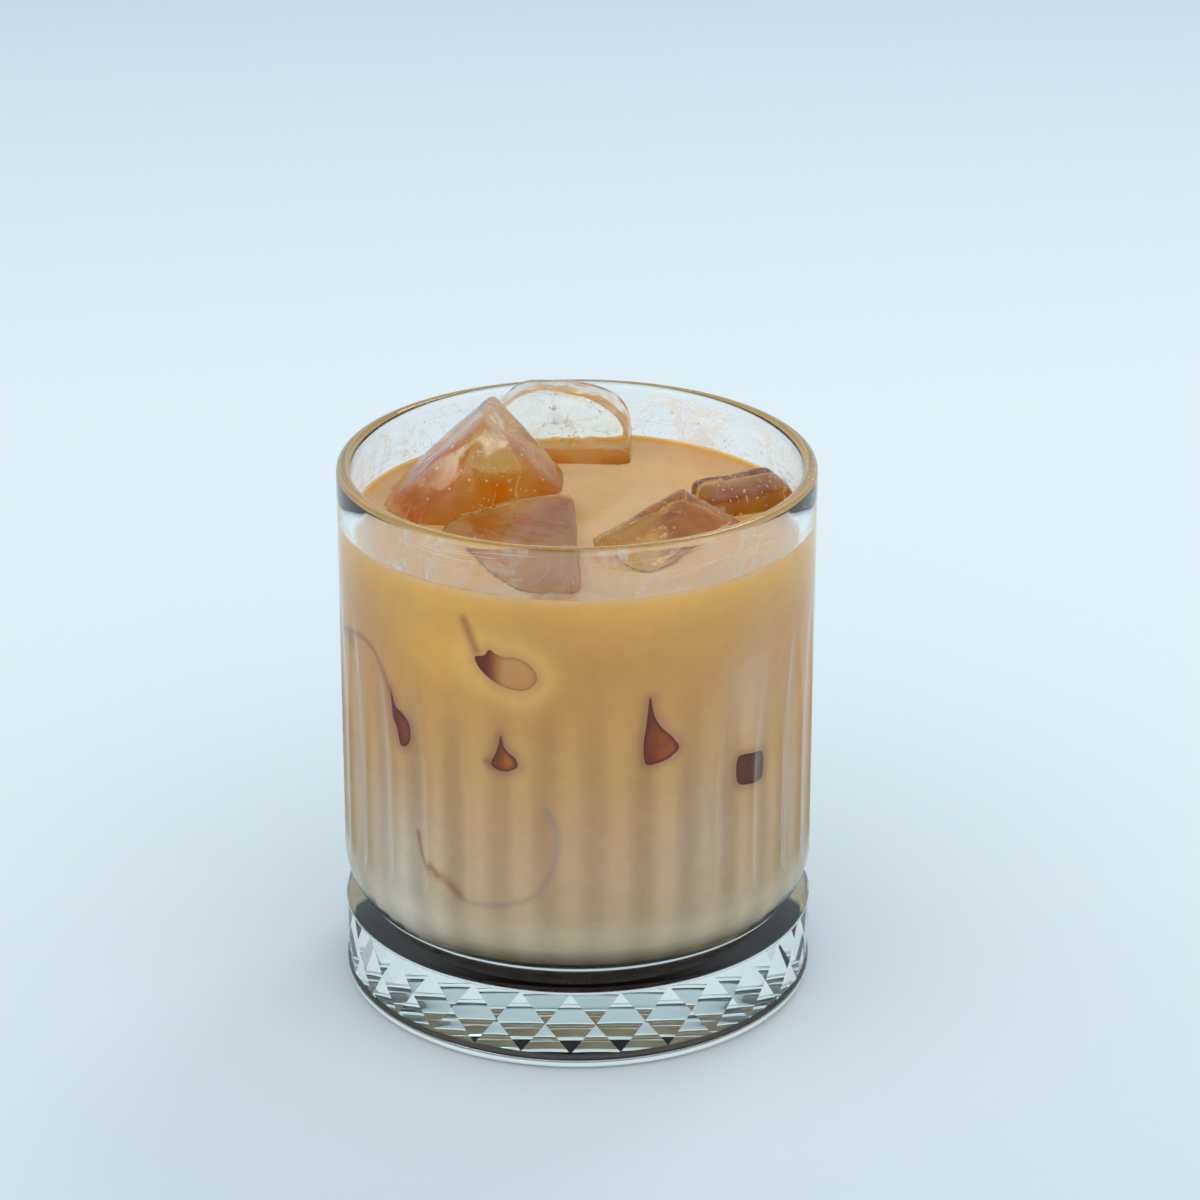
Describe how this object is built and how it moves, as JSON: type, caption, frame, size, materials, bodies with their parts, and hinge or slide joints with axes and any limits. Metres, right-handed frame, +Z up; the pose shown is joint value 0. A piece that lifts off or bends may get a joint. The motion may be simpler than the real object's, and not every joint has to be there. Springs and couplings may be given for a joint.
{
  "type": "iced mocha in a pressed glass tumbler",
  "caption": "Iced milky coffee with chocolate in a short fluted tumbler with a diamond-cut foot; blocks of ice float in it and stand out of the top.",
  "frame": {"origin": "middle of the underside of the tumbler's foot", "axes": "+Z up along the tumbler's axis; -Y is the front, +X is to the right seen from the front"},
  "size_m": [0.084, 0.084, 0.1029],
  "materials": {
    "glass": "clear, pressed and fire-polished",
    "drink": "smooth milky coffee",
    "ice": "wet, rounded by melting, stained by the coffee"
  },
  "bodies": {
    "root": {"glass": "glass", "drink": "drink", "ice_tall": "ice", "ice_front": "ice", "ice_back": "ice", "ice_right": "ice", "ice_far_right": "ice"}
  },
  "joints": []
}
